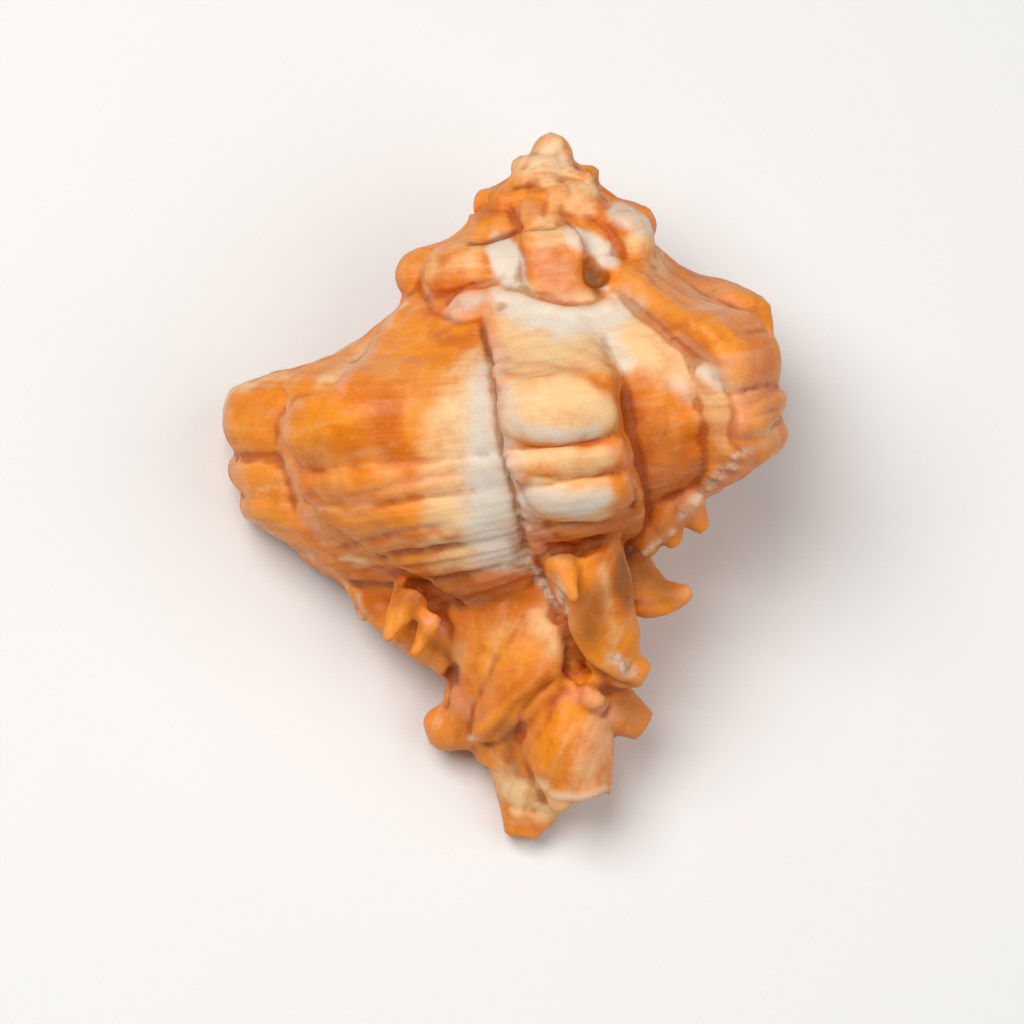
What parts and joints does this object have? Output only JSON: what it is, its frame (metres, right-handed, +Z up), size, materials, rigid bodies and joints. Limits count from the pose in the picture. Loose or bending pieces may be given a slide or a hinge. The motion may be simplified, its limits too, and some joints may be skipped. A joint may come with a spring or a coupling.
{
  "type": "murex shell",
  "caption": "Spiral sea snail shell with lobed ridges, a short spined canal and an oval mouth, lying on its mouth side.",
  "frame": {"origin": "middle of the underside of the part's box, on the surface that the shell lies on", "axes": "+Z up, +Y from the canal towards the tip of the spire, +X towards the right side seen from above"},
  "size_m": [0.0412, 0.0496, 0.0305],
  "materials": {
    "shell": "natural shell chalk, orange with cream and pale pink, soft sheen"
  },
  "bodies": {
    "root": {"shell": "shell"}
  },
  "joints": []
}
